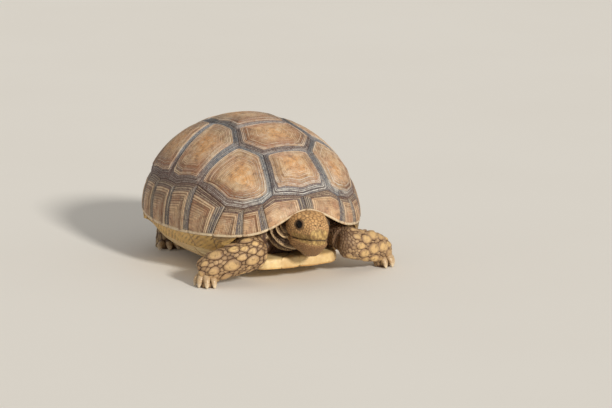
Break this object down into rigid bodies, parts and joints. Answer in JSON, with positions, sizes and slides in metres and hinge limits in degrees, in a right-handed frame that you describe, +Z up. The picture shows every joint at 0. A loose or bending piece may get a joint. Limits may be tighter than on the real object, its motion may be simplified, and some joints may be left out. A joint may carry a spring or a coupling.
{
  "type": "tortoise",
  "caption": "Young African spurred tortoise, still and life-size: a domed shell of ringed horn plates, scaly forelegs folded out in front, the head held low and level under the shell's edge.",
  "frame": {"origin": "on the floor, under the middle of the whole animal's bounding box", "axes": "-Y is where the head points, +X the animal's left side, +Z up"},
  "size_m": [0.1872, 0.2454, 0.1292],
  "materials": {
    "shell_horn": "satin horn, ringed",
    "shell_edge_horn": "satin horn, ringed",
    "underside_horn": "satin horn, pale",
    "scaly_skin": "dry scaly skin",
    "head_skin": "dry, finely scaled skin and horn beak",
    "eye": "wet gloss"
  },
  "bodies": {
    "root": {"vertebral_1": "shell_horn", "vertebral_2": "shell_horn", "vertebral_3": "shell_horn", "vertebral_4": "shell_horn", "vertebral_5": "shell_horn", "costal_left_1": "shell_horn", "costal_left_2": "shell_horn", "costal_left_3": "shell_horn", "costal_left_4": "shell_horn", "costal_right_1": "shell_horn", "costal_right_2": "shell_horn", "costal_right_3": "shell_horn", "costal_right_4": "shell_horn", "marginal_left_1": "shell_edge_horn", "marginal_left_2": "shell_edge_horn", "marginal_left_3": "shell_edge_horn", "marginal_left_4": "shell_edge_horn", "marginal_left_5": "shell_edge_horn", "marginal_left_6": "shell_edge_horn", "marginal_left_7": "shell_edge_horn", "marginal_left_8": "shell_edge_horn", "marginal_left_9": "shell_edge_horn", "marginal_left_10": "shell_edge_horn", "marginal_left_11": "shell_edge_horn", "marginal_right_1": "shell_edge_horn", "marginal_right_2": "shell_edge_horn", "marginal_right_3": "shell_edge_horn", "marginal_right_4": "shell_edge_horn", "marginal_right_5": "shell_edge_horn", "marginal_right_6": "shell_edge_horn", "marginal_right_7": "shell_edge_horn", "marginal_right_8": "shell_edge_horn", "marginal_right_9": "shell_edge_horn", "marginal_right_10": "shell_edge_horn", "marginal_right_11": "shell_edge_horn", "supracaudal": "shell_edge_horn", "gular_left": "underside_horn", "gular_right": "underside_horn", "humeral_left": "underside_horn", "humeral_right": "underside_horn", "pectoral_left": "underside_horn", "pectoral_right": "underside_horn", "abdominal_left": "underside_horn", "abdominal_right": "underside_horn", "femoral_left": "underside_horn", "femoral_right": "underside_horn", "anal_left": "underside_horn", "anal_right": "underside_horn", "trunk": "scaly_skin", "neck": "scaly_skin", "tail": "scaly_skin", "foreleg_left": "scaly_skin", "foreleg_right": "scaly_skin", "hindleg_left": "scaly_skin", "hindleg_right": "scaly_skin", "head": "head_skin", "lower_jaw": "head_skin", "eye_left": "eye", "eye_right": "eye"}
  },
  "joints": []
}
